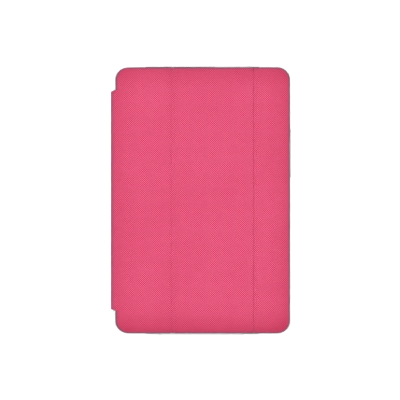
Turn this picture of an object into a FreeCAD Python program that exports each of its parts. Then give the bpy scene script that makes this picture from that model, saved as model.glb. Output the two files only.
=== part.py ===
"""Folding case for an eight-inch tablet: a frosted tray, a hinged spine and a cover in three panels.

The case lies on its back with the cover closed. The origin is on the resting surface under the
middle of the case, +Y is the top edge of the tablet, +Z points out of the front cover, and the
spine is on the -X side. All sizes are in millimetres.
"""

import FreeCAD, Part

import math
import os
import re

import Sketcher

# ---------------------------------------------------------------- driving dimensions

SIZES = (
    ("shell_width", 137.0, "rear shell across X"),
    ("shell_length", 207.2, "rear shell along Y"),
    ("shell_corner", 10.9, "rear shell corner radius, seen from above"),
    ("shell_wall", 1.1, "side wall of the rear shell"),
    ("shell_floor", 1.5, "back wall of the rear shell"),
    ("shell_height", 8.4, "top of the lips over the resting surface"),
    ("back_round", 2.4, "rounding between the back and the sides"),
    ("floor_round", 1.0, "rounding between the bay floor and the walls"),
    ("lip_height", 0.6, "thickness of the four corner lips"),
    ("lip_reach", 0.7, "how far a lip holds over the tablet"),
    ("lip_end", 24.0, "length of wall with a lip, from each end of a side"),
    ("port_left", -32.3, "bottom cut-out, left end"),
    ("port_right", 32.1, "bottom cut-out, right end"),
    ("top_cut_left", 8.4, "top cut-out, left end"),
    ("top_cut_right", 37.6, "top cut-out, right end"),
    ("side_cut_low", 18.0, "side button cut-out, lower end"),
    ("side_cut_high", 54.0, "side button cut-out, upper end"),
    ("cut_floor", 2.6, "lower edge of the cut-outs over the resting surface"),
    ("cut_round", 1.6, "rounding at the lower corners of the cut-outs"),
    ("camera_x", 55.5, "camera opening, centre across X from the shell's middle"),
    ("camera_y", 91.5, "camera opening, centre along Y"),
    ("camera_width", 17.0, "camera opening across X"),
    ("camera_length", 11.0, "camera opening along Y"),
    ("camera_round", 4.5, "camera opening corner radius"),
    ("strip_width", 14.0, "glued strip on the back, across X"),
    ("strip_recess", 0.8, "depth of the recess for the strip"),
    ("strip_gap", 0.2, "clearance round the strip in its recess"),
    ("tape_inset", 1.2, "adhesive tape, inset from the strip's edges"),
    ("spine_stand_out", 1.6, "outer face of the spine to the shell's wall"),
    ("spine_length", 167.6, "spine along Y"),
    ("strip_round", 1.2, "rounding at the free corners of the glued strip"),
    ("bend_outer", 2.5, "outer radius of the two bends beside the spine"),
    ("cover_gap", 0.3, "cover over the lips"),
    ("cover_start", 3.8, "cover's left edge, in from the spine's outer face"),
    ("cover_length", 204.2, "cover along Y"),
    ("cover_corner", 9.6, "cover corner radius"),
    ("panel_1_width", 42.2, "first panel, beside the spine"),
    ("fold_1_width", 2.8, "channel between the first and second panels"),
    ("panel_2_width", 60.5, "middle panel"),
    ("fold_2_width", 2.4, "channel between the second and third panels"),
    ("panel_3_width", 25.7, "last panel, at the free edge"),
    ("skin", 0.6, "outer fabric"),
    ("board", 1.3, "stiffening board in a panel"),
    ("spine_board", 0.4, "stiffening board in the spine"),
    ("lining", 0.3, "inner fabric"),
    ("border", 2.4, "board's edge, in from the cover's edge"),
    ("fold_border", 0.7, "board's edge, in from a fold channel"),
    ("lining_inset", 1.0, "lining's edge, in from the cover's edge"),
    ("edge_round", 0.5, "rounding of the cover's outer edge"),
    ("channel_drop", 0.15, "outer face of a fold web below the panels"),
    ("magnet_width", 3.0, "closing magnet across X"),
    ("magnet_length", 12.0, "closing magnet along Y"),
    ("magnet_thick", 1.0, "thickness of the magnets and keeper plates"),
    ("magnet_edge", 5.0, "closing magnets, centre in from the free edge"),
    ("magnet_pitch", 52.0, "closing magnets, centre to centre"),
    ("wake_size", 6.0, "square wake magnet"),
    ("wake_y", 58.0, "wake magnet, centre along Y"),
    ("wake_edge", 13.0, "wake magnet, centre in from the free edge"),
    ("keeper_width", 5.0, "steel keeper plate across X"),
    ("keeper_length", 26.0, "steel keeper plate along Y"),
    ("keeper_edge", 6.0, "keeper plates, centre in from the first fold"),
)

MAGNET_PLACES = (-1.5, -0.5, 0.5, 1.5)  # in pitches along Y
KEEPER_PLACES = (-1, 1)
BOTH_SIDES = ("left", "right")

# Places across X that several sub-parts share, as formulas of the dimensions above.
CASE_LEFT = "(-(shell_width + spine_stand_out) / 2)"
SHELL_MIDDLE = "(spine_stand_out / 2)"
COVER_LEFT = f"({CASE_LEFT} + cover_start)"
FOLD_1_LEFT = f"({COVER_LEFT} + panel_1_width)"
FOLD_1_RIGHT = f"({FOLD_1_LEFT} + fold_1_width)"
FOLD_2_LEFT = f"({FOLD_1_RIGHT} + panel_2_width)"
FOLD_2_RIGHT = f"({FOLD_2_LEFT} + fold_2_width)"
COVER_RIGHT = f"({FOLD_2_RIGHT} + panel_3_width)"

# Levels above the resting surface.
COVER_BOTTOM = "(shell_height + cover_gap)"
BOARD_BOTTOM = f"({COVER_BOTTOM} + lining)"
COVER_TOP = f"({BOARD_BOTTOM} + board + skin)"

doc = FreeCAD.newDocument("TabletCase")
sheet = doc.addObject("Spreadsheet::Sheet", "Sizes")
made = []


# ---------------------------------------------------------------- helpers


def fill_sheet():
    """Writes each dimension with its meaning and gives its cell a name."""
    for row, (alias, value, meaning) in enumerate(SIZES, start=1):
        sheet.set(f"A{row}", meaning)
        sheet.set(f"B{row}", str(value))
        sheet.setAlias(f"B{row}", alias)
    doc.recompute()


def formula(text):
    """A formula of dimension names as an expression that reads them from the sheet."""
    return re.sub(r"[a-z][a-z_0-9]*", lambda name: f"Sizes.{name.group()}", text)


def value_of(text):
    """The value of a formula of dimension names, in millimetres."""
    return float(sheet.evalExpression(formula(text)))


def bind(obj, **formulas):
    """Binds properties to formulas; a double underscore in a name stands for a dot."""
    for path, text in formulas.items():
        obj.setExpression(path.replace("__", "."), formula(text))


def new_body(label):
    body = doc.addObject("PartDesign::Body", label)
    body.Label = label
    made.append(body)
    return body


def origin_plane(body, role):
    return next(item for item in body.Origin.OriginFeatures if item.Role == role)


def new_sketch(body, role="XY_Plane", level=None):
    """An empty sketch on one of the body's own planes, raised along its normal to a level."""
    sketch = body.newObject("Sketcher::SketchObject", f"{body.Label}_sketch")
    sketch.AttachmentSupport = [(origin_plane(body, role), "")]
    sketch.MapMode = "FlatFace"
    if level is not None:
        bind(sketch, AttachmentOffset__Base__z=level)
    return sketch


def outline(sketch, left, right, low, high, radius="0", rounded=()):
    """Draws a rectangle in a sketch; each side lies at a formula, measured from the origin.

    rounded names the sides, left and right, whose two corners are rounded to the radius.
    """
    west, east, south, north = (value_of(text) for text in (left, right, low, high))
    turns = (
        (east, south, "right", (-1, 1)),
        (east, north, "right", (-1, -1)),
        (west, north, "left", (1, -1)),
        (west, south, "left", (1, 1)),
    )
    arcs = [
        corner_arc(x, y, inward, value_of(radius), quarter) if side in rounded else None
        for quarter, (x, y, side, inward) in enumerate(turns)
    ]
    leaves = [arc.EndPoint if arc else FreeCAD.Vector(x, y, 0) for arc, (x, y, *_) in zip(arcs, turns)]
    meets = [arc.StartPoint if arc else FreeCAD.Vector(x, y, 0) for arc, (x, y, *_) in zip(arcs, turns)]
    straight = []
    for number, arc in enumerate(arcs):
        straight.append(sketch.addGeometry(Part.LineSegment(leaves[number - 1], meets[number]), False))
        if arc:
            sketch.addGeometry(arc, False)
    join_outline(sketch)
    bend_numbers = [n for n, item in enumerate(sketch.Geometry) if isinstance(item, Part.ArcOfCircle)]
    for other in bend_numbers[1:]:
        sketch.addConstraint(Sketcher.Constraint("Equal", bend_numbers[0], other))
    if bend_numbers:
        measure = Sketcher.Constraint("Radius", bend_numbers[0], value_of(radius))
        drive(sketch, measure, radius)
    place_sides(sketch, (left, right, low, high), straight)
    return sketch


def corner_arc(x, y, inward, radius, quarter):
    """A quarter circle that rounds the corner at x, y, run counter-clockwise."""
    centre = FreeCAD.Vector(x + inward[0] * radius, y + inward[1] * radius, 0)
    circle = Part.Circle(centre, FreeCAD.Vector(0, 0, 1), radius)
    start = (quarter - 1) * math.pi / 2
    return Part.ArcOfCircle(circle, start, start + math.pi / 2)


def join_outline(sketch):
    """Joins each edge of a closed outline to the next one: smoothly where one of them is an arc."""
    shapes = sketch.Geometry
    for number, shape in enumerate(shapes):
        following = (number + 1) % len(shapes)
        both = (shape, shapes[following])
        kind = "Tangent" if any(isinstance(item, Part.ArcOfCircle) for item in both) else "Coincident"
        sketch.addConstraint(Sketcher.Constraint(kind, number, 2, following, 1))


def place_sides(sketch, sides, lines):
    """Sets the four straight sides level or upright, each at its formula from the origin."""
    left, right, low, high = sides
    bottom_line, right_line, top_line, left_line = lines
    for line in (bottom_line, top_line):
        sketch.addConstraint(Sketcher.Constraint("Horizontal", line))
    for line in (left_line, right_line):
        sketch.addConstraint(Sketcher.Constraint("Vertical", line))
    for kind, line, text in (
        ("DistanceX", left_line, left),
        ("DistanceY", bottom_line, low),
        ("DistanceX", right_line, right),
        ("DistanceY", top_line, high),
    ):
        drive(sketch, Sketcher.Constraint(kind, -1, 1, line, 1, value_of(text)), text)


def drive(sketch, measure, text):
    """Adds a dimension to a sketch and binds it to its formula."""
    place = sketch.addConstraint(measure)
    sketch.setExpression(f"Constraints[{place}]", formula(text))


def block_sides(middle_x, middle_y, width, length):
    """The four sides of a rectangle given by its middle and its size."""
    return (
        f"{middle_x} - {width} / 2",
        f"{middle_x} + {width} / 2",
        f"{middle_y} - {length} / 2",
        f"{middle_y} + {length} / 2",
    )


def pad(body, sketch, length, symmetric=False):
    feature = body.newObject("PartDesign::Pad", f"{body.Label}_pad")
    feature.Profile = sketch
    if symmetric:
        feature.SideType = "Symmetric"
    bind(feature, Length=length)
    doc.recompute()
    return feature


def pocket(body, sketch, depth, upwards=False):
    """Cuts down from the sketch, or up, and checks that the cut removes something."""
    before = body.Shape.Volume
    feature = body.newObject("PartDesign::Pocket", f"{body.Label}_pocket")
    feature.Profile = sketch
    feature.Reversed = upwards
    bind(feature, Length=depth)
    doc.recompute()
    if body.Shape.Volume > before - 0.01:
        raise ValueError(f"{feature.Name} cuts nothing from {body.Label}")
    return feature


def fillet(body, radius, chosen):
    """Rounds every edge of the body's last feature that the test picks."""
    base = body.Tip
    names = [f"Edge{i}" for i, edge in enumerate(base.Shape.Edges, start=1) if chosen(edge)]
    if not names:
        raise ValueError(f"no edge to round on {body.Label}")
    feature = body.newObject("PartDesign::Fillet", f"{body.Label}_fillet")
    feature.Base = (base, names)
    bind(feature, Radius=radius)
    doc.recompute()
    return feature


def size(alias):
    return float(sheet.get(alias))


def spans(edge, axis):
    """How far an edge runs along X, Y or Z."""
    box = edge.BoundBox
    return {"x": box.XLength, "y": box.YLength, "z": box.ZLength}[axis]


def upright(edge):
    return spans(edge, "z") > 0.05 and spans(edge, "x") + spans(edge, "y") < 1e-4


def at_level(edge, level):
    return spans(edge, "z") < 1e-4 and abs(edge.BoundBox.ZMin - level) < 1e-4


# ---------------------------------------------------------------- rear shell


def bay_outline(sketch, inset):
    """The tablet's outline, smaller by an inset on each side."""
    across = f"(shell_width / 2 - shell_wall - {inset})"
    along = f"(shell_length / 2 - shell_wall - {inset})"
    radius = f"shell_corner - shell_wall - {inset}"
    return outline(sketch, f"-{across}", across, f"-{along}", along, radius, BOTH_SIDES)


def hollow_shell(body):
    """The tray: rounded block, tablet bay, then the mouth that leaves a lip all round."""
    across = "(shell_width / 2)"
    along = "(shell_length / 2)"
    block = new_sketch(body)
    outline(block, f"-{across}", across, f"-{along}", along, "shell_corner", BOTH_SIDES)
    pad(body, block, "shell_height")
    fillet(body, "back_round", lambda edge: at_level(edge, 0))
    cavity = bay_outline(new_sketch(body, level="shell_floor"), "0")
    pocket(body, cavity, "shell_height - shell_floor - lip_height", upwards=True)
    floor = size("shell_floor")
    fillet(body, "floor_round", lambda edge: at_level(edge, floor))
    mouth = bay_outline(new_sketch(body, level="shell_height"), "lip_reach")
    pocket(body, mouth, "lip_height")


def trim_lips(body):
    """Takes the lip off the middle of each side, so that it is left at the four corners."""
    sketch = new_sketch(body, level="shell_height")
    across = "(shell_width / 2 - shell_wall)"
    along = "(shell_length / 2 - shell_wall)"
    outline(sketch, f"-{across}", across, f"-{along} + lip_end", f"{along} - lip_end")
    pocket(body, sketch, "lip_height")
    sketch = new_sketch(body, level="shell_height")
    outline(sketch, f"-{across} + lip_end", f"{across} - lip_end", f"-{along}", along)
    pocket(body, sketch, "lip_height")


def cut_wall(body, left, right, low, high, along):
    """Opens a stretch of side wall from the rim down, with rounded lower corners."""
    sketch = outline(new_sketch(body, level="shell_height"), left, right, low, high)
    pocket(body, sketch, "shell_height - cut_floor")
    level = size("cut_floor")
    limits = {"x": (left, right), "y": (low, high)}[along]
    ends = [value_of(text) for text in limits]

    def lower_corner(edge):
        box = edge.BoundBox
        place = {"x": (box.XMin, box.XMax), "y": (box.YMin, box.YMax)}[along]
        flat = at_level(edge, level) and place[1] - place[0] < 1e-4
        return flat and min(abs(place[0] - end) for end in ends) < 1e-4

    fillet(body, "cut_round", lower_corner)


def rear_shell():
    body = new_body("rear_shell")
    hollow_shell(body)
    trim_lips(body)
    beyond = "2"
    inner = "(shell_length / 2 - shell_wall - 0.5)"
    outer = f"(shell_length / 2 + {beyond})"
    cut_wall(body, "port_left - spine_stand_out / 2", "port_right - spine_stand_out / 2",
             f"-{outer}", f"-{inner}", "x")
    cut_wall(body, "top_cut_left - spine_stand_out / 2", "top_cut_right - spine_stand_out / 2",
             inner, outer, "x")
    cut_wall(body, "shell_width / 2 - shell_wall - 0.5", f"shell_width / 2 + {beyond}",
             "side_cut_low", "side_cut_high", "y")
    camera_opening(body)
    strip_recess(body)
    bind(body, Placement__Base__x=SHELL_MIDDLE)


def camera_opening(body):
    """A rounded window through the back, in the upper corner away from the spine."""
    sketch = new_sketch(body, level="shell_floor")
    sides = block_sides("camera_x", "camera_y", "camera_width", "camera_length")
    outline(sketch, *sides, "camera_round", BOTH_SIDES)
    pocket(body, sketch, "shell_floor")


def strip_recess(body):
    """A shallow step in the back, from the spine side, that takes the glued strip flush."""
    sketch = new_sketch(body)
    half = "(spine_length / 2 + strip_gap)"
    left = "-shell_width / 2"
    outline(sketch, f"{left} - 1", f"{left} + strip_width + strip_gap", f"-{half}", half)
    pocket(body, sketch, "strip_recess", upwards=True)


# ---------------------------------------------------------------- back strip, spine and bends


def flat_sheet(label, left, right, low, high, bottom, thickness, radius="0", rounded=()):
    """A flat sheet with its sides, underside and thickness at formulas."""
    body = new_body(label)
    sketch = outline(new_sketch(body), left, right, low, high, radius, rounded)
    pad(body, sketch, thickness)
    bind(body, Placement__Base__z=bottom)
    return body


def back_strip():
    left = f"{CASE_LEFT} + bend_outer"
    right = f"{CASE_LEFT} + spine_stand_out + strip_width"
    half = "(spine_length / 2)"
    rounding = ("strip_round", ("right",))
    flat_sheet("back_strip", left, right, f"-{half}", half, "0", "skin", *rounding)
    inner = f"({half} - tape_inset)"
    flat_sheet(
        "strip_tape",
        f"{left} + tape_inset",
        f"{right} - tape_inset",
        f"-{inner}",
        inner,
        "skin",
        "strip_recess - skin",
    )


def spine():
    """Three upright layers from the outside in: fabric, board and lining."""
    low = "bend_outer"
    high = f"{COVER_TOP} - bend_outer"
    outer = CASE_LEFT
    for label, thickness, inset in (
        ("spine_skin", "skin", "0"),
        ("spine_board", "spine_board", "border"),
        ("spine_lining", "lining", "lining_inset"),
    ):
        body = new_body(label)
        half = f"(spine_length / 2 - {inset})"
        sketch = new_sketch(body, "YZ_Plane", level=outer)
        outline(sketch, f"-{half}", half, low, high)
        pad(body, sketch, thickness)
        outer = f"({outer} + {thickness})"


def bend(label, middle, outer, inner, quarter, tail, inset):
    """A strip of fabric bent through a right angle, with a flat tail towards +X.

    middle is the bend's centre (x, z); quarter is +1 where the bend turns over the top of the
    spine and -1 where it turns under its foot.
    """
    body = new_body(label)
    centre = FreeCAD.Vector(value_of(middle[0]), value_of(middle[1]), 0)
    sketch = new_sketch(body, "XZ_Plane")
    end_x = centre.x + value_of(tail)
    radii = (value_of(outer), value_of(inner))
    side = [centre + FreeCAD.Vector(-radius, 0, 0) for radius in radii]
    crown = [centre + FreeCAD.Vector(0, quarter * radius, 0) for radius in radii]
    slant = FreeCAD.Vector(-(0.5**0.5), quarter * 0.5**0.5, 0)
    over = [centre + slant * radius for radius in radii]
    tips = [FreeCAD.Vector(end_x, point.y, 0) for point in crown]
    for start, way, end in zip(side, over, crown):
        sketch.addGeometry(Part.Arc(start, way, end), False)
    for start, end in ((crown[0], tips[0]), (tips[0], tips[1]), (tips[1], crown[1]), (side[1], side[0])):
        if (end - start).Length > 1e-6:
            sketch.addGeometry(Part.LineSegment(start, end), False)
    for number in range(len(sketch.Geometry)):
        sketch.addConstraint(Sketcher.Constraint("Block", number))
    pad(body, sketch, f"spine_length - 2 * {inset}", symmetric=True)
    return body


def bends():
    """The fabric beside the spine: over its top edge, and under its foot."""
    centre_x = f"{CASE_LEFT} + bend_outer"
    top = (centre_x, f"{COVER_TOP} - bend_outer")
    foot = (centre_x, "bend_outer")
    tail = "cover_start - bend_outer"
    bend("top_bend_skin", top, "bend_outer", "bend_outer - skin", 1, tail, "0")
    lining_outer = "bend_outer - skin"
    bend("top_bend_lining", top, lining_outer, f"{lining_outer} - lining", 1, tail, "lining_inset")
    bend("foot_bend_skin", foot, "bend_outer", "bend_outer - skin", -1, "0", "0")


# ---------------------------------------------------------------- cover panels and folds


def layer_sides(left, right, inset, fold_inset, outer_sides):
    """The four sides of a layer: inset from the cover's edges, and by less beside a fold."""
    near = inset if "left" in outer_sides else fold_inset
    far = inset if "right" in outer_sides else fold_inset
    half = f"(cover_length / 2 - {inset})"
    return f"{left} + {near}", f"{right} - {far}", f"-{half}", half


def soften_outer_edge(body, thickness):
    """Rounds the outer fabric's upper edge all the way round."""
    top = value_of(thickness)
    fillet(body, "edge_round", lambda edge: at_level(edge, top))


def panel(name, left, right, outer_sides, inlays=()):
    """A panel: outer fabric, the board in it with hollows for its inlays, and the lining.

    outer_sides names the sides, left or right, that are edges of the cover and not folds.
    """
    whole = layer_sides(left, right, "0", "0", outer_sides)
    inner = layer_sides(left, right, "border", "fold_border", outer_sides)
    lined = layer_sides(left, right, "lining_inset", "0", outer_sides)
    board_corner = ("cover_corner - border", outer_sides)
    thickness = "board + skin"
    skin = flat_sheet(
        f"{name}_skin", *whole, BOARD_BOTTOM, thickness, "cover_corner", outer_sides
    )
    soften_outer_edge(skin, thickness)
    pocket(skin, outline(new_sketch(skin), *inner, *board_corner), "board", upwards=True)
    board = flat_sheet(f"{name}_board", *inner, BOARD_BOTTOM, "board", *board_corner)
    for sides in inlays:
        pocket(board, outline(new_sketch(board), *sides), "magnet_thick", upwards=True)
    lining_corner = ("cover_corner - lining_inset", outer_sides)
    flat_sheet(f"{name}_lining", *lined, COVER_BOTTOM, "lining", *lining_corner)


def fold_web(name, left, right):
    """The board-free channel between two panels: the fabric and lining bonded together."""
    half = "(cover_length / 2)"
    bottom = f"{COVER_TOP} - channel_drop - skin"
    flat_sheet(f"{name}_skin", left, right, f"-{half}", half, bottom, "skin")
    inner = f"({half} - lining_inset)"
    flat_sheet(f"{name}_lining", left, right, f"-{inner}", inner, f"{bottom} - lining", "lining")


# ---------------------------------------------------------------- inlays


def magnet_sides():
    middle = f"{COVER_RIGHT} - magnet_edge"
    return [
        block_sides(middle, f"({place} * magnet_pitch)", "magnet_width", "magnet_length")
        for place in MAGNET_PLACES
    ]


def wake_sides():
    return [block_sides(f"{COVER_RIGHT} - wake_edge", "wake_y", "wake_size", "wake_size")]


def keeper_sides():
    middle = f"{FOLD_1_LEFT} - keeper_edge"
    return [
        block_sides(middle, f"({place} * magnet_pitch)", "keeper_width", "keeper_length")
        for place in KEEPER_PLACES
    ]


def inlay_blocks(label, sides):
    """Flat blocks sunk in a board's underside, numbered if there are several."""
    for number, (west, east, low, high) in enumerate(sides, start=1):
        name = f"{label}_{number}" if len(sides) > 1 else label
        block = doc.addObject("Part::Box", name)
        bind(
            block,
            Length=f"({east}) - ({west})",
            Width=f"({high}) - ({low})",
            Height="magnet_thick",
            Placement__Base__x=west,
            Placement__Base__y=low,
            Placement__Base__z=BOARD_BOTTOM,
        )
        made.append(block)


# ---------------------------------------------------------------- build and write


def build():
    fill_sheet()
    rear_shell()
    back_strip()
    spine()
    bends()
    panel("panel_1", COVER_LEFT, FOLD_1_LEFT, ("left",), keeper_sides())
    fold_web("fold_1", FOLD_1_LEFT, FOLD_1_RIGHT)
    panel("panel_2", FOLD_1_RIGHT, FOLD_2_LEFT, ())
    fold_web("fold_2", FOLD_2_LEFT, FOLD_2_RIGHT)
    panel("panel_3", FOLD_2_RIGHT, COVER_RIGHT, ("right",), magnet_sides() + wake_sides())
    inlay_blocks("keeper_plate", keeper_sides())
    inlay_blocks("closing_magnet", magnet_sides())
    inlay_blocks("wake_magnet", wake_sides())
    doc.recompute()


def check():
    """Stops if any object failed or any sub-part has no valid shape."""
    for obj in doc.Objects:
        if {"Invalid", "Error"} & set(obj.State):
            raise ValueError(f"{obj.Label} failed: {obj.State}")
    for part in made:
        if part.Shape.isNull() or not part.Shape.isValid() or not part.Shape.Solids:
            raise ValueError(f"{part.Label} has no valid solid")


def write():
    os.makedirs("parts", exist_ok=True)
    for part in made:
        part.Shape.exportStep(f"parts/{part.Label}.step")
        box = part.Shape.BoundBox
        print(
            f"{part.Label:18s} {len(part.Shape.Solids)} solid  {part.Shape.Volume:9.1f} mm3  "
            f"x {box.XMin:7.2f} {box.XMax:7.2f}  y {box.YMin:8.2f} {box.YMax:7.2f}  "
            f"z {box.ZMin:6.2f} {box.ZMax:6.2f}"
        )


build()
check()
write()
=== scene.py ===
"""The looks of a folding tablet case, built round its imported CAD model.

The case lies on its back with the cover closed: +Z out of the cover, +Y towards the top edge, the
spine on the -X side. Lengths are in metres, and MM turns millimetres into them.
"""

import math

import bpy
import numpy as np
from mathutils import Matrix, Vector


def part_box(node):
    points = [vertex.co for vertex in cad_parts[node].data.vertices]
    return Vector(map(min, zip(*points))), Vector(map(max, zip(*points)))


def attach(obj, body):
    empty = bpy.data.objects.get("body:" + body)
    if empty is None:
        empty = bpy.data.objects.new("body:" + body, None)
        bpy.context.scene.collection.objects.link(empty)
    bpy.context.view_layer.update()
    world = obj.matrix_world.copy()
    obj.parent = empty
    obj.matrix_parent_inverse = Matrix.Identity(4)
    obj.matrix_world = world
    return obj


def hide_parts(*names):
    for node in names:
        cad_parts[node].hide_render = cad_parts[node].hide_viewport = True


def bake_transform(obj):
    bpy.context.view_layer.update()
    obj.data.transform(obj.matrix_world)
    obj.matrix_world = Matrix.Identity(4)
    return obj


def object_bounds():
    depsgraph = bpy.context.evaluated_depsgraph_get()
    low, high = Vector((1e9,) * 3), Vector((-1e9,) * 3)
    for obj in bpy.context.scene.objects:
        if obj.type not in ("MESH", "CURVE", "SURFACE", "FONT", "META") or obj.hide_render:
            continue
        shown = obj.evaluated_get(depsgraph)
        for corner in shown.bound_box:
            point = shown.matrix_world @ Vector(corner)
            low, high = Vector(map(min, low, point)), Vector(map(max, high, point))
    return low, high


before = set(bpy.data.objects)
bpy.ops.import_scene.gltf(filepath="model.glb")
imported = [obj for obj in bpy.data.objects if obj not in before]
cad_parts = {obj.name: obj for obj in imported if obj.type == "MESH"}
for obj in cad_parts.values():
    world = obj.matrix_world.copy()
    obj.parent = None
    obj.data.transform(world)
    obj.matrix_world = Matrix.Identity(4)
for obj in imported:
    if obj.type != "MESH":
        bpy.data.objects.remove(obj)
cad_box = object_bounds()

MM = 0.001

# ---------------------------------------------------------------- places taken from the frame


def low(node):
    return np.array(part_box(node)[0])


def high(node):
    return np.array(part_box(node)[1])


TOP = high("panel_2_skin")[2]
SKIN_UNDER = low("panel_2_skin")[2]
BOARD_TOP = high("panel_2_board")[2]
COVER_LEFT = low("panel_1_skin")[0]
COVER_RIGHT = high("panel_3_skin")[0]
COVER_HALF = high("panel_2_skin")[1]
CASE_LEFT = low("spine_skin")[0]
SPINE_HALF = high("spine_skin")[1]
SPINE_LOW = low("spine_skin")[2]
SPINE_HIGH = high("spine_skin")[2]
SKIN = high("spine_skin")[0] - CASE_LEFT
STRIP_RIGHT = high("back_strip")[0]
COVER_CORNER = 9.6 * MM

# ---------------------------------------------------------------- mesh helpers

GRID_STEP = 3 * MM
SHARP_ANGLE = math.radians(50)

# Painted shade: the colour deepens within this distance of the cover's outline, and this much
# towards the spine, the free edge, the top and the bottom.
EDGE_SHADE_REACH = 26 * MM
EDGE_SHADE_WEIGHTS = (1.0, 1.0, 1.35, 2.1)


def smooth_step(value, start, end):
    t = np.clip((value - start) / (end - start), 0, 1)
    return t * t * (3 - 2 * t)


def painted_edge_shade(points):
    """Painted shade near the cover's outline: 0 far from it, and an edge's weight on that edge."""
    x, y = points[:, 0], points[:, 1]
    gaps = (x - CASE_LEFT, COVER_RIGHT - x, COVER_HALF - y, COVER_HALF + y)
    total = sum(
        weight * np.clip(1 - gap / EDGE_SHADE_REACH, 0, 1) ** 2 for gap, weight in zip(gaps, EDGE_SHADE_WEIGHTS)
    )
    return np.clip(total, 0, max(EDGE_SHADE_WEIGHTS))


def new_object(name, points, faces, material, uv, wear_and_shade):
    """A smooth-shaded mesh object with its sharp edges kept, its weave map and its marks.

    Marks: rubbing and painted shade per point, and nearness to the outline for painted shade.
    """
    mesh = bpy.data.meshes.new(name)
    mesh.from_pydata([tuple(point) for point in points], [], [tuple(face) for face in faces])
    corners = np.empty(len(mesh.loops), dtype=np.int32)
    mesh.loops.foreach_get("vertex_index", corners)
    layer = mesh.uv_layers.new(name="weave")
    layer.data.foreach_set("uv", np.asarray(uv)[corners].astype(np.float32).ravel())
    for mark, values in (("wear_and_shade", np.asarray(wear_and_shade)), ("edge", painted_edge_shade(np.asarray(points)))):
        attribute = mesh.attributes.new(mark, "FLOAT", "POINT")
        attribute.data.foreach_set("value", values.astype(np.float32))
    mesh.materials.append(material)
    mesh.validate()
    mesh.shade_smooth()
    mesh.set_sharp_from_angle(angle=SHARP_ANGLE)
    obj = bpy.data.objects.new(name, mesh)
    bpy.context.scene.collection.objects.link(obj)
    return obj


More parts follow.
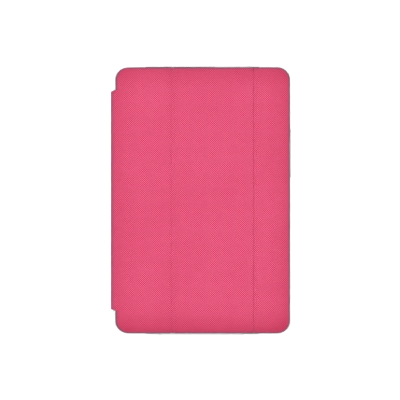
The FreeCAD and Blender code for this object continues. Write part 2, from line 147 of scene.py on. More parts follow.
class Plate:
    """A closed plate made of rings round a rounded outline, with a patch over each end.

    Every ring is a row of points that starts in the middle of the south-west corner and runs
    counter-clockwise, so that rings join point by point and a patch can fill the last one.
    fractions are the places of the points along the straight part of the two long sides.
    """

    ARC_STEPS = 12
    FEWEST_ACROSS = 6
    TIGHTEST_BEND = 0.02 * MM

    def __init__(self, left, right, half_length, corner_left, corner_right, fractions):
        self.sides = (left, right)
        self.half_length = half_length
        self.corners = (corner_left, corner_right)
        self.across = max(self.FEWEST_ACROSS, round((right - left) / GRID_STEP))
        self.fractions = np.array(fractions)
        self.nx = self.across + self.ARC_STEPS
        self.ny = len(fractions) - 1 + self.ARC_STEPS
        self.count = 2 * (self.nx + self.ny)
        self.points = []
        self.uv = []
        self.wear_and_shade = []
        self.faces = []
        self.last = None
        self.outwards = None

    def outline(self, left, right, end):
        """x, y of a ring with its own insets from the left side, the right side and both ends."""
        x0, x1 = self.sides[0] + left, self.sides[1] - right
        y1 = self.half_length - end
        bend_left = max(self.corners[0] - max(left, end), self.TIGHTEST_BEND)
        bend_right = max(self.corners[1] - max(right, end), self.TIGHTEST_BEND)
        turns = (
            (x0 + bend_left, -y1 + bend_left, bend_left, 180),
            (x1 - bend_right, -y1 + bend_right, bend_right, 270),
            (x1 - bend_right, y1 - bend_right, bend_right, 0),
            (x0 + bend_left, y1 - bend_left, bend_left, 90),
        )
        arcs = []
        for x, y, radius, start in turns:
            angles = np.radians(start + np.linspace(0, 90, self.ARC_STEPS + 1))
            arcs.append(np.column_stack((x + radius * np.cos(angles), y + radius * np.sin(angles))))
        shares = (np.linspace(0, 1, self.across + 1)[1:-1], self.fractions[1:-1])
        rows = []
        for number, arc in enumerate(arcs):
            following = arcs[(number + 1) % 4][0]
            share = shares[number % 2]
            rows.append(arc)
            rows.append(arc[-1] + share[:, None] * (following - arc[-1]))
        return np.roll(np.vstack(rows), -(self.ARC_STEPS // 2), axis=0)

    def add_ring(self, points, wear_and_shade=0.0):
        """Adds a ring of x, y, z points and joins it to the one before it."""
        first = len(self.points)
        self.uv.extend(self.unrolled(points))
        self.points.extend(points)
        self.wear_and_shade.extend(np.broadcast_to(wear_and_shade, (len(points),)))
        if self.last is not None:
            after = np.roll(np.arange(self.count), -1)
            for i in range(self.count):
                near, far = self.last + i, first + i
                self.faces.append((near, far, first + after[i], self.last + after[i]))
        self.last = first
        return first

    def unrolled(self, points):
        """Where a ring's points lie on the fabric before it is folded round the edge."""
        flat = points[:, :2]
        if self.last is None:
            outwards = self.outline(0, 0, 0) - flat
            self.outwards = outwards / np.linalg.norm(outwards, axis=1)[:, None]
            return flat
        before = slice(self.last, self.last + self.count)
        travelled = np.linalg.norm(points - np.array(self.points[before]), axis=1)
        return np.array(self.uv[before]) + self.outwards * travelled[:, None]

    def add_patch(self, first, height, upwards):
        """Fills a ring with a grid between its four sides; height(x, y) gives its z."""
        nx, ny = self.nx, self.ny
        number = np.full((nx + 1, ny + 1), -1)
        number[:, 0] = first + np.arange(nx + 1)
        number[nx, :] = first + nx + np.arange(ny + 1)
        number[:, ny] = first + nx + ny + np.arange(nx + 1)[::-1]
        number[0, :] = first + (2 * nx + ny + np.arange(ny + 1)[::-1]) % self.count
        edge = np.array(self.points)[:, :2]
        south, north = edge[number[:, 0]], edge[number[:, ny]]
        west, east = edge[number[0, :]], edge[number[nx, :]]
        for i in range(1, nx):
            for j in range(1, ny):
                u, v = i / nx, j / ny
                ruled = (1 - v) * south[i] + v * north[i] + (1 - u) * west[j] + u * east[j]
                low_ends = (1 - u) * south[0] + u * south[nx]
                high_ends = (1 - u) * north[0] + u * north[nx]
                x, y = ruled - (1 - v) * low_ends - v * high_ends
                number[i, j] = len(self.points)
                self.points.append(np.array((x, y, height(x, y))))
                self.uv.append(np.array((x, y)))
                self.wear_and_shade.append(0.0)
        for i in range(nx):
            for j in range(ny):
                face = (number[i, j], number[i + 1, j], number[i + 1, j + 1], number[i, j + 1])
                self.faces.append(face if upwards else face[::-1])

    def build(self, name, material, slot):
        return new_object(name, self.points, self.faces, material, self.uv, self.wear_and_shade)


END_TURNS = np.radians((80, 60, 40, 20))
# How much wear and painted shade darken a strip's rolled ends.
END_WEAR_AND_SHADE = 0.5


def inside_line(line, depth):
    """The line that lies a depth inside an outer one of x, z points."""
    heading = np.gradient(line, axis=0)
    heading /= np.linalg.norm(heading, axis=1)[:, None]
    return line - np.column_stack((heading[:, 1], -heading[:, 0])) * depth


def strip_stations(longest):
    """Shares of a strip's half length, each with its turn round the rolled end, end to end."""
    middle = np.linspace(-1, 1, round(2 * longest / GRID_STEP))
    stations = [(-1, turn) for turn in END_TURNS] + [(share, 0) for share in middle]
    return stations + [(1, turn) for turn in END_TURNS[::-1]]


def strip_faces(rows, stations):
    """Faces of a closed strip that has rows outer and rows inner points at every station."""
    faces = []
    last = rows - 1
    for station in range(stations - 1):
        here, there = 2 * rows * station, 2 * rows * (station + 1)
        for r in range(last):
            inner, beyond = here + rows + r, there + rows + r
            faces.append((here + r, there + r, there + r + 1, here + r + 1))
            faces.append((inner, inner + 1, beyond + 1, beyond))
        faces.append((here, here + rows, there + rows, there))
        faces.append((here + last, there + last, there + rows + last, here + rows + last))
    final = 2 * rows * (stations - 1)
    for r in range(last):
        faces.append((r, r + 1, rows + r + 1, rows + r))
        faces.append((final + r, final + rows + r, final + rows + r + 1, final + r + 1))
    return faces


def strip(name, path, travelled, thickness, half_length, end_round, material, darkening=0.0):
    """A closed thin strip: the line `path` of x, z points is its outer face, swept along Y.

    The path runs anticlockwise seen from the bottom edge, over the cover, down the spine and under
    the back. travelled is each point's place along the weave, and half_length its half length.
    Both faces close in over the last end_round before each end, where wear and painted shade
    darken them. The last argument is each path point's wear and painted shade along the rest.
    """
    path = np.array(path, dtype=float)
    half_length = np.broadcast_to(half_length, (len(path),))
    stations = strip_stations(half_length.max())
    points, uv, wear_and_shade = [], [], []
    for share, turn in stations:
        y = share * (half_length - end_round * (1 - math.sin(turn)))
        pinch = (1 - math.cos(turn)) * thickness / 2
        # Wear and painted shade darken the ends as they roll under.
        end_wear_and_shade = END_WEAR_AND_SHADE * (abs(share) == 1) + (1 - END_WEAR_AND_SHADE) * math.sin(turn)
        for depth in (pinch, thickness - pinch):
            line = inside_line(path, depth)
            points.extend(np.column_stack((line[:, 0], y, line[:, 1])))
            uv.extend(np.column_stack((travelled, y)))
            wear_and_shade.extend(np.maximum(end_wear_and_shade, np.broadcast_to(darkening, (len(path),))))
    faces = strip_faces(len(path), len(stations))
    return new_object(name, points, faces, material, uv, wear_and_shade)


# ---------------------------------------------------------------- material helpers

# Nearly all of a noise's values lie between these.
NOISE_SPAN = (0.3, 0.7)


class Nodes:
    """A material's node tree, with short calls that return the new node's output."""

    def __init__(self, name, **surface):
        self.material = bpy.data.materials.new(name)
        self.material.use_nodes = True
        self.tree = self.material.node_tree
        self.shader = self.tree.nodes["Principled BSDF"]
        for socket, value in surface.items():
            self.set(socket.replace("_", " "), value)

    def node(self, kind, output=0, inputs=(), **settings):
        made = self.tree.nodes.new(kind)
        for key, value in settings.items():
            setattr(made, key, value)
        for key, value in dict(inputs).items():
            self.feed(made.inputs[key], value)
        return made.outputs[output]

    def feed(self, socket, value):
        if isinstance(value, bpy.types.NodeSocket):
            self.tree.links.new(value, socket)
        else:
            socket.default_value = value

    def set(self, socket, value):
        self.feed(self.shader.inputs[socket], value)

    def math(self, operation, *values):
        return self.node("ShaderNodeMath", inputs=enumerate(values), operation=operation)

    def noise(self, vector, scale, detail=3.0, roughness=0.55):
        inputs = {"Vector": vector, "Scale": scale, "Detail": detail, "Roughness": roughness}
        return self.node("ShaderNodeTexNoise", inputs=inputs)

    def remap(self, value, from_low, from_high, to_low, to_high):
        inputs = {1: from_low, 2: from_high, 3: to_low, 4: to_high, 0: value}
        return self.node("ShaderNodeMapRange", inputs=inputs)

    def spread(self, noise, lowest, highest, span=NOISE_SPAN):
        """A noise stretched so that its span fills lowest to highest."""
        return self.remap(noise, *span, lowest, highest)

    def mix(self, share, first, second, blend="MIX"):
        inputs = {0: share, 6: first, 7: second}
        return self.node("ShaderNodeMix", 2, inputs, data_type="RGBA", blend_type=blend)

    def blotches(self, noise, first, second, span=NOISE_SPAN):
        """Two colours mixed by a noise."""
        return self.mix(self.spread(noise, 0.0, 1.0, span), first, second)

    def bump(self, height, distance, strength):
        inputs = {"Height": height, "Distance": distance, "Strength": strength}
        return self.node("ShaderNodeBump", inputs=inputs)

    def place(self):
        return self.node("ShaderNodeTexCoord", "Object")

    def stretched(self, place, along_y):
        """Places scaled along Y, so that a noise there has long streaks that way."""
        return self.node("ShaderNodeMapping", inputs={"Vector": place, "Scale": (1.0, along_y, 1.0)})

    def split(self, vector):
        parts = self.tree.nodes.new("ShaderNodeSeparateXYZ")
        self.feed(parts.inputs[0], vector)
        return parts.outputs

    def mark(self, name):
        return self.node("ShaderNodeAttribute", "Fac", attribute_name=name)


def rgb(red, green, blue):
    return (red, green, blue, 1.0)


def grey(level):
    return rgb(level, level, level)


# ---------------------------------------------------------------- materials

WEAVE_PITCH = 0.825 * MM
WEAVE_RELIEF = 0.16 * MM
# Noise scales at which warp and weft wander, and how far, in radians of their wave.
WEAVE_DRIFT = (85.0, 105.0)
WEAVE_WANDER = 4.4
# Half the width, in the weave's own height, of the step from a sunken square to a raised one.
WEAVE_STEP = 0.3
GRAIN_SCALE = 5200.0
GRAIN_SHARE = 0.3
# How much smoother the raised squares are than the sunken ones.
CREST_SHINE = 0.3
CLOUD_SCALE = 28.0
PINK_DEEP = rgb(0.74, 0.067, 0.168)
PINK_LIGHT = rgb(0.77, 0.077, 0.185)
# Painted shade: the deeper pink near the cover's outline, and the share of it at the edge.
PINK_EDGE_SHADE = rgb(0.54, 0.025, 0.085)
EDGE_SHADE_SHARE = 0.45
# What the pink is multiplied by in the sunken and the raised squares: painted shade in the sunken
# ones, a whitish painted highlight on the raised ones.
GROOVE_SHADE = rgb(0.66, 0.0, 0.12)
CREST_HIGHLIGHT = rgb(1.28, 2.06, 1.88)
# Wear and painted shade: the dark pink that rolled edges, ends, creases and corners turn to.
WEAR_AND_SHADE_PINK = rgb(0.27, 0.065, 0.125)


def weave_waves(n, along, drift_scale):
    """One set of threads: a sine across them that wanders a little from even spacing."""
    drift = n.math("SUBTRACT", n.noise(n.place(), drift_scale, 2.0), 0.5)
    phase = n.math("MULTIPLY", along, math.pi / WEAVE_PITCH)
    return n.math("SINE", n.math("ADD", phase, n.math("MULTIPLY", drift, WEAVE_WANDER)))


def outer_fabric():
    """Pink coated fabric with a pressed plain weave: raised and sunken squares in turn."""
    n = Nodes("outer_fabric", Sheen_Weight=0.04, Sheen_Roughness=0.5, Specular_IOR_Level=0.3)
    n.set("Sheen Tint", rgb(1.0, 0.62, 0.74))
    axes = n.split(n.node("ShaderNodeUVMap", uv_map="weave"))
    warp, weft = (weave_waves(n, axes[i], scale) for i, scale in enumerate(WEAVE_DRIFT))
    squares = n.math("MULTIPLY", warp, weft)
    grain = n.noise(n.place(), GRAIN_SCALE, 2.0)
    wear_and_shade_mark, edge = n.mark("wear_and_shade"), n.mark("edge")
    relief = n.math("ADD", squares, n.math("MULTIPLY", grain, GRAIN_SHARE))
    n.set("Normal", n.bump(relief, WEAVE_RELIEF, n.remap(wear_and_shade_mark, 0.0, 1.0, 1.0, 0.5)))
    even = n.blotches(n.noise(n.place(), CLOUD_SCALE, 4.0), PINK_DEEP, PINK_LIGHT)
    # Painted shade in the sunken squares and painted highlight on the raised ones.
    depth = n.mix(n.remap(squares, -WEAVE_STEP, WEAVE_STEP, 0.0, 1.0), GROOVE_SHADE, CREST_HIGHLIGHT)
    tone = n.mix(1.0, even, depth, "MULTIPLY")
    # Painted shade: the pink deepens towards the cover's outline.
    edge_shaded = n.mix(n.math("MULTIPLY", edge, EDGE_SHADE_SHARE), tone, PINK_EDGE_SHADE)
    # Darkened by wear and painted shade on rolled edges, ends, creases and corners.
    n.set("Base Color", n.mix(wear_and_shade_mark, edge_shaded, WEAR_AND_SHADE_PINK))
    dull = n.math("ADD", grain, n.math("MULTIPLY", squares, -CREST_SHINE))
    n.set("Roughness", n.remap(dull, 0.2, 0.9, 0.42, 0.6))
    return n.material


def inner_fabric():
    """Dusty rose microfibre: a short soft nap with brushed streaks."""
    n = Nodes("inner_fabric", Sheen_Weight=0.45, Sheen_Roughness=0.6, Specular_IOR_Level=0.2)
    n.set("Sheen Tint", rgb(1.0, 0.85, 0.88))
    place = n.place()
    combed = n.stretched(place, 0.3)
    nap = n.noise(combed, 2600.0, 3.0)
    pile = n.noise(place, 9000.0, 2.0)
    brushed = n.noise(combed, 60.0, 4.0, 0.6)
    shade = n.math("ADD", n.math("MULTIPLY", nap, 0.4), brushed)
    n.set("Base Color", n.blotches(shade, rgb(0.47, 0.27, 0.31), rgb(0.60, 0.38, 0.42), (0.45, 0.95)))
    n.set("Roughness", n.spread(pile, 0.82, 0.96))
    relief = n.math("ADD", n.math("MULTIPLY", nap, 0.7), n.math("MULTIPLY", pile, 0.3))
    n.set("Normal", n.bump(relief, 0.06 * MM, 0.8))
    return n.material


# The tray is greyer in its flat back and whiter from its floor up, where its walls gather light.
BACK_LEVEL, WALL_LEVEL = 1.4 * MM, 3.0 * MM
BACK_DARK = rgb(0.76, 0.75, 0.76)
BACK_LIGHT = rgb(0.81, 0.80, 0.81)
WALL_WHITE = rgb(0.97, 0.94, 0.95)


def frosted_shell():
    """Milky polycarbonate with an etched, finely spark-eroded face."""
    n = Nodes("frosted_shell", IOR=1.58, Specular_IOR_Level=0.5)
    place = n.place()
    cloud = n.noise(place, 35.0, 3.0)
    etched = n.noise(place, 4200.0, 2.0)
    height = n.split(place)[2]
    back = n.blotches(cloud, BACK_DARK, BACK_LIGHT)
    gathers = n.remap(height, BACK_LEVEL, WALL_LEVEL, 0.0, 1.0)
    n.set("Base Color", n.mix(gathers, back, WALL_WHITE))
    n.set("Roughness", n.spread(etched, 0.3, 0.42))
    n.set("Transmission Weight", n.spread(cloud, 0.22, 0.30))
    n.set("Normal", n.bump(etched, 0.02 * MM, 0.6))
    return n.material


def fibre_board():
    """Grey-brown pressed board with short fibres."""
    n = Nodes("fibre_board", Specular_IOR_Level=0.2)
    place = n.place()
    fibres = n.noise(n.stretched(place, 0.12), 2400.0, 4.0, 0.7)
    patches = n.noise(place, 70.0, 3.0)
    tone = n.math("ADD", n.math("MULTIPLY", fibres, 0.6), n.math("MULTIPLY", patches, 0.4))
    n.set("Base Color", n.blotches(tone, rgb(0.36, 0.30, 0.24), rgb(0.56, 0.49, 0.40), (0.35, 0.65)))
    n.set("Roughness", n.spread(fibres, 0.8, 0.95))
    n.set("Normal", n.bump(fibres, 0.05 * MM, 0.7))
    return n.material


def adhesive_tape():
    """Off-white double-sided tape with a faint carrier grid."""
    n = Nodes("adhesive_tape", Specular_IOR_Level=0.4)
    place = n.place()
    blot = n.noise(place, 240.0, 3.0)
    carrier = {"Vector": place, "Scale": 500.0, "Distortion": 0.4}
    n.set("Base Color", n.blotches(blot, rgb(0.78, 0.75, 0.66), rgb(0.88, 0.86, 0.79)))
    n.set("Roughness", n.spread(blot, 0.3, 0.5))
    n.set("Normal", n.bump(n.node("ShaderNodeTexWave", "Fac", carrier), 0.01 * MM, 0.5))
    return n.material


def plated_metal(name, dark, light, along_y, smoothest, roughest):
    """Bright metal with fine streaks one way and slight staining."""
    n = Nodes(name, Metallic=1.0)
    place = n.place()
    streaks = n.noise(n.stretched(place, along_y), 5200.0, 3.0)
    stain = n.noise(place, 160.0, 3.0)
    n.set("Base Color", n.blotches(stain, dark, light))
    dull = n.math("ADD", streaks, n.math("MULTIPLY", stain, 0.4))
    n.set("Roughness", n.remap(dull, 0.4, 1.0, smoothest, roughest))
    n.set("Normal", n.bump(streaks, 0.01 * MM, 0.5))
    return n.material


def keeper_steel():
    return plated_metal("keeper_steel", rgb(0.50, 0.50, 0.51), rgb(0.66, 0.66, 0.67), 0.05, 0.25, 0.45)


def nickel():
    return plated_metal("nickel", rgb(0.62, 0.60, 0.56), rgb(0.74, 0.73, 0.70), 0.6, 0.16, 0.3)


FABRIC = outer_fabric()
LINING = inner_fabric()
CLOSING_MAGNETS = tuple(f"closing_magnet_{number}" for number in (1, 2, 3, 4))
CAD_FINISHES = (
    (frosted_shell(), ("rear_shell",)),
    (fibre_board(), ("panel_1_board", "panel_2_board", "panel_3_board", "spine_board")),
    (adhesive_tape(), ("strip_tape",)),
    (keeper_steel(), ("keeper_plate_1", "keeper_plate_2")),
    (nickel(), CLOSING_MAGNETS + ("wake_magnet",)),
)

for finish, nodes in CAD_FINISHES:
    for node in nodes:
        for material_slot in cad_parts[node].material_slots:
            material_slot.link = "OBJECT"
            material_slot.material = finish

# ---------------------------------------------------------------- the cover's outer face

EDGE_SAG = 0.18 * MM
SPINE_SAG = 0.14 * MM
SAG_REACH = 16 * MM
FACE_WAVE = 0.03 * MM
EDGE_WAVE = 0.05 * MM


def edge_sag(distance, depth):
    """How far the face has sunk this far from an edge, easing out to nothing."""
    return depth * np.clip(1 - distance / SAG_REACH, 0, 1) ** 2


def cover_face(x, y):
    """Height of the closed cover's outer face: level in the middle and lower towards its edges."""
    sag = edge_sag(COVER_HALF - np.abs(y), EDGE_SAG)
    sag = sag + edge_sag(x - COVER_LEFT, SPINE_SAG) + edge_sag(COVER_RIGHT - x, EDGE_SAG)
    sag = sag + FACE_WAVE * (1 - np.sin(x * 61 + 0.7) * np.cos(y * 47 - 0.4))
    return TOP - sag


def edge_wave(points):
    """Small unevenness of the hand-turned edges, in metres."""
    x, y = points[:, 0], points[:, 1]
    long_waves = np.sin(y * 210 + 1.3) + np.sin(x * 260 + 0.5)
    return EDGE_WAVE * (long_waves + 0.6 * np.sin((x + y) * 515))


# Each row: inset and drop below the face at an open edge, at a fold, and where the spine joins.
PANEL_PROFILE = np.array(
    (
        (4.6, 0.00, 2.60, 0.00, 4.6, 0.0),
        (3.6, 0.00, 2.00, 0.00, 3.6, 0.0),
        (3.0, 0.02, 1.50, 0.00, 3.0, 0.0),
        (2.6, 0.07, 1.10, 0.00, 2.6, 0.0),
        (2.3, 0.13, 0.85, 0.00, 2.3, 0.0),
        (2.0, 0.18, 0.65, 0.01, 2.0, 0.0),
        (1.7, 0.22, 0.50, 0.02, 1.6, 0.0),
        (1.4, 0.28, 0.36, 0.03, 1.2, 0.0),
        (1.1, 0.37, 0.28, 0.04, 1.0, 0.0),
        (0.8, 0.50, 0.20, 0.05, 0.8, 0.0),
        (0.5, 0.68, 0.13, 0.07, 0.5, 0.0),
        (0.25, 0.92, 0.07, 0.10, 0.25, 0.0),
        (0.08, 1.20, 0.02, 0.16, 0.0, 0.0),
        (0.00, 1.45, 0.00, 0.70, 0.0, 0.4),
        (0.06, 1.65, 0.00, 1.00, 0.0, 0.8),
        (0.22, 1.78, 0.00, 1.30, 0.0, 1.2),
        (0.50, 1.87, 0.02, 1.65, 0.0, 1.6),
        (0.90, 1.90, 0.06, 1.90, 0.0, 1.9),
    )
) * MM
PROFILE_REACH = PANEL_PROFILE[0, 0]
WIDEST_ROW = int(np.argmin(PANEL_PROFILE[:, 0]))
BOARD_CLEAR = 0.02 * MM
HOLLOW_INSET = 3 * MM
FOLD_CORNER = 0.5 * MM
JOIN_START, JOIN_END = SPINE_HALF + 0.2 * MM, SPINE_HALF + 1.4 * MM
# A fold's profile comes in between these distances from the panel's ends, and the profiles of a
# panel's two sides fade out over this distance from them.
FOLD_START, FOLD_END = 0.3 * MM, 1.6 * MM
SIDE_REACH = 2 * MM
# Over this distance from the profile's first row the edge becomes fully uneven.
LOOSE_REACH = 3 * MM
# Drops between which the rolled edge goes from clean to fully darkened by wear and painted shade.
UNDARKENED_DROP, DARKEST_DROP = 0.04 * MM, 0.62 * MM


# Points along a panel's side lie closest together from just inside to just past the spine's end.
FINE_BEFORE, FINE_AFTER = 1.5 * MM, 2.5 * MM
MIDDLE_POINTS, FINE_POINTS, OUTER_POINTS = 58, 15, 4


def side_fractions():
    """Places along a panel's sides, closer together where the spine ends."""
    straight = COVER_HALF - COVER_CORNER
    near = (SPINE_HALF - FINE_BEFORE) / straight
    far = (SPINE_HALF + FINE_AFTER) / straight
    middle = np.linspace(-near, near, MIDDLE_POINTS)
    fine = np.linspace(near, far, FINE_POINTS)[1:]
    outer = np.linspace(far, 1, OUTER_POINTS)[1:]
    upper = np.concatenate((fine, outer))
    return (np.concatenate((-upper[::-1], middle, upper)) + 1) / 2


FRACTIONS = side_fractions()


def panel_plate(name, node, half_length, corner):
    """A plate as wide as a node, with the cover's corners at its ends and tight ones at folds."""
    corners = [corner if name == outer else FOLD_CORNER for outer in ("panel_1", "panel_3")]
    return Plate(low(node)[0], high(node)[0], half_length, *corners, FRACTIONS)


def level(flat, z):
    """The points of a ring at one height."""
    return np.column_stack((flat, np.full(len(flat), z)))


class Panel:
    """A panel's plate, and what its rings need to know about its four sides."""

    def __init__(self, name):
        node = f"{name}_skin"
        self.plate = panel_plate(name, node, COVER_HALF, COVER_CORNER)
        self.left, self.right = self.plate.sides
        self.open_left = name == "panel_1"
        self.open_right = name == "panel_3"

    def shares(self, outline):
        """How much each ring point follows the fold profile and the joined profile."""
        x, y = outline[:, 0], outline[:, 1]
        beside = smooth_step(COVER_HALF - np.abs(y), FOLD_START, FOLD_END)
        near_left = smooth_step(self.left + SIDE_REACH - x, 0, SIDE_REACH)
        near_right = smooth_step(x - self.right + SIDE_REACH, 0, SIDE_REACH)
        fold = np.zeros(len(x))
        if not self.open_left:
            fold = np.maximum(fold, near_left * beside)
        if not self.open_right:
            fold = np.maximum(fold, near_right * beside)
        joined = np.zeros(len(x))
        if self.open_left:
            joined = near_left * (1 - smooth_step(np.abs(y), JOIN_START, JOIN_END))
        return fold, joined

    def flat_ring(self, row, fold, joined):
        """x, y of one row of the profile, with the open edges a little uneven."""
        open_inset, _, fold_inset, _, join_inset, _ = row
        flat = self.plate.outline(
            open_inset if self.open_left else fold_inset,
            open_inset if self.open_right else fold_inset,
            open_inset,
        )
        flat[:, 0] += (join_inset - open_inset) * joined
        outward = flat - np.array(((self.left + self.right) / 2, 0))
        outward /= np.linalg.norm(outward, axis=1)[:, None]
        loose = (1 - fold) * (1 - joined) * smooth_step(PROFILE_REACH - open_inset, 0, LOOSE_REACH)
        wave = edge_wave(self.plate.outline(0, 0, 0))
        return flat - outward * np.abs(wave * loose)[:, None]

    def ring(self, row):
        """The x, y, z points of one row of the profile, and how darkened by wear and painted shade."""
        fold, joined = self.shares(self.plate.outline(0, 0, 0))
        _, open_drop, _, fold_drop, _, join_drop = row
        drop = open_drop + (fold_drop - open_drop) * fold
        drop = drop + (join_drop - drop) * joined
        flat = self.flat_ring(row, fold, joined)
        face = cover_face(flat[:, 0], flat[:, 1])
        whole = TOP - SKIN_UNDER
        z = SKIN_UNDER + (whole - drop) / whole * (face - SKIN_UNDER)
        # Wear and painted shade darken the rolled edge as it drops.
        return np.column_stack((flat, z)), smooth_step(drop, UNDARKENED_DROP, DARKEST_DROP)


def add_hollow(panel, board):
    """Closes a panel's underside round a hollow that just clears its board."""
    plate = panel.plate
    near = low(board)[0] - panel.left - BOARD_CLEAR
    far = panel.right - high(board)[0] - BOARD_CLEAR
    end = COVER_HALF - high(board)[1] - BOARD_CLEAR
    roof = BOARD_TOP + BOARD_CLEAR
    for inset, z in ((0, SKIN_UNDER), (0, roof), (HOLLOW_INSET, roof)):
        last = plate.add_ring(level(plate.outline(near + inset, far + inset, end + inset), z))
    plate.add_patch(last, lambda x, y: roof, upwards=False)


def panel_skin(name):
    """The outer fabric over a board: soft face, stepped border and a hollow for the board."""
    panel = Panel(name)
    plate = panel.plate
    rings = [plate.add_ring(*panel.ring(row)) for row in PANEL_PROFILE]
    plate.add_patch(rings[0], cover_face, upwards=True)
    add_hollow(panel, f"{name}_board")
    skin = plate.build(f"{name}_cover", FABRIC, "outer_fabric")
    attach(skin, name)
    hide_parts(f"{name}_skin")


# Each row: inset and rise above the lining's underside.
LINING_PROFILE = np.array(
    (
        (3.4, 0.0),
        (2.9, 0.0),
        (2.7, 0.05),
        (2.5, 0.07),
        (2.3, 0.05),
        (2.1, 0.0),
        (1.0, 0.0),
        (0.3, 0.01),
        (0.1, 0.05),
        (0.0, 0.14),
        (0.0, 0.3),
    )
) * MM
LINING_CORNER = COVER_CORNER - 1 * MM
LINING_TOP_INSET = 4 * MM


def panel_lining(name):
    """The lining: a thin soft sheet with a pressed line round its edge, on the cover's inside."""
    node = f"{name}_lining"
    under, over = low(node)[2], high(node)[2]
    plate = panel_plate(name, node, high(node)[1], LINING_CORNER)

    def even_ring(inset, z):
        return plate.add_ring(level(plate.outline(inset, inset, inset), z))

    rings = [even_ring(inset, under + rise) for inset, rise in LINING_PROFILE]
    plate.add_patch(rings[0], lambda x, y: under, upwards=False)
    plate.add_patch(even_ring(LINING_TOP_INSET, over), lambda x, y: over, upwards=True)
    lining = plate.build(f"{name}_inside", LINING, "inner_fabric")
    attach(lining, name)
    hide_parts(node)


# ---------------------------------------------------------------- fold webs

# Each web: the crease's place from its left side, the crease's depth, and how much painted shade
# darkens it.
CREASES = {1: (0.57 * MM, 0.34 * MM, 0.22), 2: (0.38 * MM, 0.38 * MM, 0.40)}
CREASE_REACH = 0.36 * MM
CREASE_SHARPNESS = 1.4
CREASE_POINTS, PLAIN_POINTS = 9, 6
PLAIN_START = 0.6 * MM
WEB_DROP = 0.05 * MM
WEB_SIDE_DROP = 0.1 * MM
WEB_INSET = 0.3 * MM
WEB_END = 0.5 * MM
WEB_SINK = 0.5
WEB_LINING_GAP = 0.45 * MM
LINING_END = 0.3 * MM


def web_stations(left, right, crease):
    """Places across a web from right to left, closer together round its crease."""
    pressed = crease + CREASE_REACH * np.linspace(-1, 1, CREASE_POINTS)
    plain = np.linspace(crease + PLAIN_START, right, PLAIN_POINTS)
    inside = np.concatenate((pressed, plain))
    return np.unique(np.concatenate(((left,), inside[inside > left])))[::-1]


def fold_web(number):
    """The board-free band between two panels, with one pressed crease, and its lining."""
    node, lining_node = f"fold_{number}_skin", f"fold_{number}_lining"
    left, right = low(node)[0], high(node)[0]
    place, depth, darkening = CREASES[number]
    across = web_stations(left, right, left + place)
    face = cover_face(across, 0 * across)
    pressed = np.clip(1 - np.abs(across - left - place) / CREASE_REACH, 0, 1) ** CREASE_SHARPNESS
    width = right - left
    border = smooth_step(np.abs(across - (left + right) / 2), 0.3 * width, 0.5 * width)
    path = np.column_stack((across, face - (WEB_DROP + WEB_SIDE_DROP * border + depth * pressed)))
    half = COVER_HALF - WEB_INSET
    # Painted shade darkens the crease.
    web_name, crease_darkening = f"fold_{number}_cover", darkening * pressed
    web = strip(web_name, path, across, SKIN, half, WEB_END, FABRIC, crease_darkening)
    sink_ends(web)
    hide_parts(node)
    inner = np.column_stack((across, face - SKIN - WEB_LINING_GAP))
    half = high(lining_node)[1]
    thickness = high(lining_node)[2] - low(lining_node)[2]
    lining_name = f"fold_{number}_inside"
    lined = strip(lining_name, inner, across, thickness, half, LINING_END, LINING)
    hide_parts(lining_node)
    for piece in (web, lined):
        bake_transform(piece)


def sink_ends(obj):
    """Lets a web's ends sink with the panels' edges beside it."""
    middle = cover_face(0, 0)
    insets, drops = PANEL_PROFILE[WIDEST_ROW::-1, 0], PANEL_PROFILE[WIDEST_ROW::-1, 1]
    for vertex in obj.data.vertices:
        vertex.co.z -= middle - cover_face(0, vertex.co.y)
        vertex.co.z -= WEB_SINK * np.interp(COVER_HALF - abs(vertex.co.y), insets, drops)


# ---------------------------------------------------------------- spine, bends and back strip

# Handles of the curve over the top bend: x and z from the cover's edge and from the spine's top.
COVER_HANDLE = np.array((-1.9, -0.06)) * MM
SPINE_HANDLE = np.array((0.0, 1.75)) * MM
# Points along the top bend, the spine, the foot bend and the back strip.
OVER_STEPS, DOWN_STEPS, FOOT_STEPS, BACK_STEPS = 18, 6, 12, 8
WRAP_END = 0.7 * MM
WRAP_OVERHANG = 0.1 * MM
FLARE, FLARE_REACH = 0.9 * MM, 2.6 * MM
TUCK, TUCK_REACH = 0.3 * MM, 1.2 * MM
STRIP_INSET = 0.4 * MM
WRAP_LINING = 0.28 * MM
LINING_GAP = 0.02 * MM
# Wear and painted shade round the wrap's two outer corners.
CORNER_WEAR_AND_SHADE = 0.75
CORNER_CORE, CORNER_REACH = 0.8 * MM, 3.8 * MM


def bezier(points, count):
    """Points along a cubic curve with four control points."""
    t = np.linspace(0, 1, count)[:, None]
    a, b, c, d = points
    return a * (1 - t) ** 3 + b * 3 * t * (1 - t) ** 2 + c * 3 * t**2 * (1 - t) + d * t**3


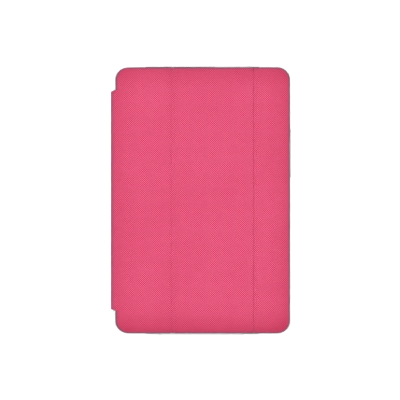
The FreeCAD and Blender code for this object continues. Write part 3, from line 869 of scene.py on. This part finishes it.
def wrap_path():
    """The outer line of the fabric from the cover's left edge to the end of the back strip.

    Returns each stretch's x, z points with their places along the weave.
    """
    cover_end = np.array((COVER_LEFT, cover_face(COVER_LEFT, 0)))
    spine_top = np.array((CASE_LEFT, SPINE_HIGH))
    handles = (cover_end, cover_end + COVER_HANDLE, spine_top + SPINE_HANDLE, spine_top)
    under = low("foot_bend_skin")[2]
    reach = high("foot_bend_skin")[0] - CASE_LEFT
    angles = np.radians(np.linspace(180, 270, FOOT_STEPS))
    centre = np.array((CASE_LEFT + reach, under + reach))
    foot = centre + reach * np.column_stack((np.cos(angles), np.sin(angles)))
    lines = {
        "top_bend": bezier(handles, OVER_STEPS),
        "spine": np.linspace(spine_top, (CASE_LEFT, SPINE_LOW), DOWN_STEPS),
        "foot_bend": foot,
        "back_strip": np.linspace((foot[-1, 0], under), (STRIP_RIGHT, under), BACK_STEPS),
    }
    place = COVER_LEFT
    stretches = {}
    for name, line in lines.items():
        steps = np.concatenate(((0,), np.cumsum(np.linalg.norm(np.diff(line, axis=0), axis=1))))
        stretches[name] = (line, place - steps)
        place -= steps[-1]
    return stretches


def wrap_half_length(line):
    """The wrap is a little longer where it meets the cover, and shortest at its outer corner."""
    x = line[:, 0]
    flare = FLARE * smooth_step(x, COVER_LEFT - FLARE_REACH, COVER_LEFT)
    tuck = TUCK * (1 - smooth_step(x, CASE_LEFT, CASE_LEFT + TUCK_REACH))
    return SPINE_HALF + WRAP_OVERHANG + flare - tuck


def corner_wear_and_shade(line):
    """The wrap is darkest round its two outer corners, by wear and painted shade."""
    distances = [np.linalg.norm(line - np.array((CASE_LEFT, z)), axis=1) for z in (0, TOP)]
    return CORNER_WEAR_AND_SHADE * (1 - smooth_step(np.minimum(*distances), CORNER_CORE, CORNER_REACH))


def wrap_skins(stretches):
    """The outer fabric of every stretch."""
    skins = {}
    for name, (line, place) in stretches.items():
        half = wrap_half_length(line) if name != "back_strip" else SPINE_HALF - STRIP_INSET
        node = f"{name}_skin" if name != "back_strip" else name
        wear_and_shade_mark = corner_wear_and_shade(line)
        skin_name = f"{name}_cover"
        skin = strip(skin_name, line, place, SKIN, half, WRAP_END, FABRIC, wear_and_shade_mark)
        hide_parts(node)
        skins[name] = skin
    return skins


def wrap_linings(stretches):
    """The inner fabric behind the top bend and the spine."""
    linings = {}
    depths = {"top_bend": SKIN + LINING_GAP, "spine": low("spine_lining")[0] - CASE_LEFT}
    for name, depth in depths.items():
        node = f"{name}_lining"
        line, place = stretches[name]
        inner = inside_line(line, depth)
        half = high(node)[1]
        lining_name = f"{name}_inside"
        lined = strip(lining_name, inner, place, WRAP_LINING, half, LINING_END, LINING)
        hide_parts(node)
        linings[name] = lined
    return linings


def wrap():
    """The fabric round the spine side, split where it bends, with its linings."""
    stretches = wrap_path()
    skins, linings = wrap_skins(stretches), wrap_linings(stretches)
    for piece in (skins["spine"], linings["spine"]):
        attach(piece, "spine")
    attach(skins["back_strip"], "shell")
    for piece in (skins["top_bend"], linings["top_bend"]):
        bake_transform(piece)
    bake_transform(skins["foot_bend"])


# ---------------------------------------------------------------- camera, light and floor

EYE_X, EYE_Y = -0.88 * MM, 0.27 * MM
EYE_DISTANCE = 2.0
FIELD_WIDTH = 0.3066
SENSOR_WIDTH = 36.0
CLIP_END = 20.0
SOFTBOX_PLACE = (-0.1, 0.1, 2.0)
SOFTBOX_SIZE = 1.2
SOFTBOX_WATTS = 39.4
# The sky goes from dim to bright between these heights of the direction looked in.
SKY_SPAN = (-0.1, 0.9)
SKY_LIGHT = (0.05, 0.34)
# The floor's glow grows to the cove's between these distances from the middle.
FLOOR_GLOW = 0.42
COVE_GLOW = 0.95
GLOW_START, GLOW_END = 0.5, 1.8
FLOOR_GAP = 0.05 * MM
FLOOR_MARGIN = 0.4
COVE_RADIUS = 3.6
COVE_HEIGHT = 2.6
COVE_SIDES = 48


def camera():
    """A long lens straight above the cover, with the top edge upwards."""
    data = bpy.data.cameras.new("camera")
    data.sensor_width = SENSOR_WIDTH
    data.lens = SENSOR_WIDTH * EYE_DISTANCE / FIELD_WIDTH
    data.clip_end = CLIP_END
    eye = bpy.data.objects.new("camera", data)
    eye.location = (EYE_X, EYE_Y, TOP + EYE_DISTANCE)
    bpy.context.scene.collection.objects.link(eye)
    bpy.context.scene.camera = eye


def softbox():
    """One large square lamp, high over the case and aimed at its middle."""
    data = bpy.data.lights.new("softbox", "AREA")
    data.shape = "SQUARE"
    data.size = SOFTBOX_SIZE
    data.energy = SOFTBOX_WATTS
    lamp = bpy.data.objects.new("softbox", data)
    lamp.location = SOFTBOX_PLACE
    bpy.context.scene.collection.objects.link(lamp)
    x, y, z = -lamp.location
    lamp.rotation_euler = (math.atan2(math.hypot(x, y), -z), 0, math.atan2(x, -y) + math.pi)


def glowing_white(name, near_glow, far_glow):
    """Plain white whose own glow grows with distance from the middle of the stage."""
    n = Nodes(name, Roughness=0.9, Specular_IOR_Level=0.0)
    n.set("Base Color", grey(0.9))
    n.set("Emission Color", grey(1.0))
    far = n.node("ShaderNodeVectorMath", "Value", {0: n.place()}, operation="LENGTH")
    n.set("Emission Strength", n.remap(far, GLOW_START, GLOW_END, near_glow, far_glow))
    return n.material


def stage_piece(name, points, faces, near_glow, far_glow):
    mesh = bpy.data.meshes.new(name)
    mesh.from_pydata(points, [], faces)
    mesh.materials.append(glowing_white(name, near_glow, far_glow))
    obj = bpy.data.objects.new(name, mesh)
    bpy.context.scene.collection.objects.link(obj)
    return obj


def floor():
    """A plain white table top that glows a little, and more far off, where less light falls."""
    z = cad_box[0][2] - FLOOR_GAP
    size = COVE_RADIUS + FLOOR_MARGIN
    corners = [(-size, -size, z), (size, -size, z), (size, size, z), (-size, size, z)]
    stage_piece("floor", corners, [(0, 1, 2, 3)], FLOOR_GLOW, COVE_GLOW)


def backdrop():
    """A white cove far round the table, which lights nothing and only closes the view."""
    around = np.radians(np.linspace(0, 360, COVE_SIDES + 1)[:-1])
    ring = COVE_RADIUS * np.column_stack((np.cos(around), np.sin(around)))
    points = [(x, y, z) for z in (0.0, COVE_HEIGHT) for x, y in ring]
    faces = []
    for i in range(COVE_SIDES):
        after = (i + 1) % COVE_SIDES
        faces.append((i, after, COVE_SIDES + after, COVE_SIDES + i))
    cove = stage_piece("backdrop", points, faces, COVE_GLOW, COVE_GLOW)
    for ray in ("visible_diffuse", "visible_glossy", "visible_shadow"):
        setattr(cove, ray, False)


def surroundings():
    """A dim studio: light overhead, fading to dark at the horizon."""
    world = bpy.data.worlds.new("world")
    world.use_nodes = True
    tree = world.node_tree
    place = tree.nodes.new("ShaderNodeTexCoord")
    height = tree.nodes.new("ShaderNodeSeparateXYZ")
    tree.links.new(place.outputs["Generated"], height.inputs[0])
    fade = tree.nodes.new("ShaderNodeMapRange")
    tree.links.new(height.outputs[2], fade.inputs[0])
    for number, value in enumerate(SKY_SPAN + SKY_LIGHT, 1):
        fade.inputs[number].default_value = value
    tree.links.new(fade.outputs[0], tree.nodes["Background"].inputs["Strength"])
    tree.nodes["Background"].inputs["Color"].default_value = grey(1.0)
    bpy.context.scene.world = world
    bpy.context.scene.view_settings.view_transform = "Standard"
    bpy.context.scene.view_settings.look = "None"


camera()
surroundings()
floor()
backdrop()
softbox()

for panel_name in ("panel_1", "panel_2", "panel_3"):
    panel_skin(panel_name)
    panel_lining(panel_name)
fold_web(1)
fold_web(2)
wrap()
